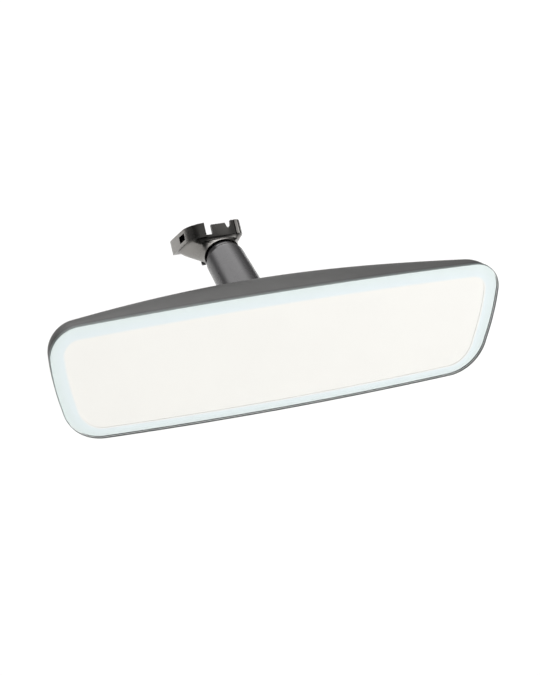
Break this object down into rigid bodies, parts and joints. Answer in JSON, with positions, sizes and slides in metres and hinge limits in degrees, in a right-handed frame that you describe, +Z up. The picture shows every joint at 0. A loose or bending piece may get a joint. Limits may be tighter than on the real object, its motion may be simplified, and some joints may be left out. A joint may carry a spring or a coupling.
{
  "type": "interior rearview mirror",
  "caption": "Frameless self-dimming interior rearview mirror: wide rounded glass in a shallow dark shell, on a ball-jointed arm with a slotted windscreen foot.",
  "frame": {"origin": "middle of the button channel, in the plane of the windscreen seat", "axes": "+X to the right seen from the cabin, +Y forward towards the windscreen, +Z up"},
  "size_m": [0.2422, 0.1206, 0.0672],
  "materials": {
    "foot_casting": "satin black die-casting",
    "foot_set_screw": "black oxide",
    "foot_ball_stud": "turned",
    "stud_push_nut": "zinc plated",
    "foot_ball_liner": "natural acetal",
    "arm_tube": "fine satin grey-black paint",
    "foot_pressure_cup": "natural acetal",
    "head_pressure_cup": "natural acetal",
    "arm_spring": "drawn spring wire",
    "wire_loom": "sleeved wires",
    "head_ball_liner": "natural acetal",
    "head_ball_stud": "turned",
    "stud_retaining_ring": "phosphated spring steel",
    "rear_housing": "fine grained dark grey",
    "socket_frame": "moulded black",
    "mounting_plate": "as cast",
    "plate_screws": "zinc plated",
    "glass_carrier": "moulded black",
    "adhesive_pad": "closed-cell foam tape",
    "front_glass": "clear, ground and rounded edge",
    "border_ring": "pale blue-green reflective border",
    "cell_seal": "cured epoxy bead",
    "dimming_gel": "clear gel, faint warm tint",
    "mirror_coating": "warm silver",
    "rear_glass": "clear float glass",
    "bus_clips": "tinned spring strip",
    "circuit_board": "green solder mask",
    "board_screws": "zinc plated",
    "board_connector": "natural nylon",
    "dimming_chip": "moulded black",
    "glare_sensor": "smoked epoxy",
    "forward_sensor": "smoked epoxy",
    "sensor_light_pipe": "smoked clear polycarbonate"
  },
  "bodies": {
    "foot": {"foot_casting": "foot_casting", "foot_set_screw": "foot_set_screw", "foot_ball_stud": "foot_ball_stud", "stud_push_nut": "stud_push_nut"},
    "foot_swivel": {"foot_ball_liner": "foot_ball_liner"},
    "arm": {"arm_tube": "arm_tube", "foot_pressure_cup": "foot_pressure_cup", "head_pressure_cup": "head_pressure_cup", "arm_spring": "arm_spring", "wire_loom": "wire_loom"},
    "head_swivel": {"head_ball_liner": "head_ball_liner"},
    "head_stud": {"head_ball_stud": "head_ball_stud", "stud_retaining_ring": "stud_retaining_ring"},
    "head": {"rear_housing": "rear_housing", "socket_frame": "socket_frame", "mounting_plate": "mounting_plate", "plate_screws": "plate_screws", "glass_carrier": "glass_carrier", "adhesive_pad": "adhesive_pad", "front_glass": "front_glass", "border_ring": "border_ring", "cell_seal": "cell_seal", "dimming_gel": "dimming_gel", "mirror_coating": "mirror_coating", "rear_glass": "rear_glass", "bus_clips": "bus_clips", "circuit_board": "circuit_board", "board_screws": "board_screws", "board_connector": "board_connector", "dimming_chip": "dimming_chip", "glare_sensor": "glare_sensor", "forward_sensor": "forward_sensor", "sensor_light_pipe": "sensor_light_pipe"}
  },
  "joints": [
    {"name": "foot_yaw", "type": "hinge", "parent": "foot", "child": "foot_swivel", "pos_m": [0, -0.02333, -0.00914], "axis": [0, 0, 1], "range_deg": [-12, 12]},
    {"name": "foot_pitch", "type": "hinge", "parent": "foot_swivel", "child": "arm", "pos_m": [0, -0.02333, -0.00914], "axis": [1, 0, 0], "range_deg": [-10, 10]},
    {"name": "head_pitch", "type": "hinge", "parent": "arm", "child": "head_swivel", "pos_m": [0, -0.08664, -0.0267], "axis": [1, 0, 0], "range_deg": [-10, 10]},
    {"name": "head_yaw", "type": "hinge", "parent": "head_swivel", "child": "head_stud", "pos_m": [0, -0.08664, -0.0267], "axis": [0, 0, 1], "range_deg": [-16, 16]},
    {"name": "head_roll", "type": "hinge", "parent": "head_stud", "child": "head", "pos_m": [0, -0.08664, -0.0267], "axis": [0, 0.9636, 0.2672], "range_deg": [-8, 8]}
  ]
}
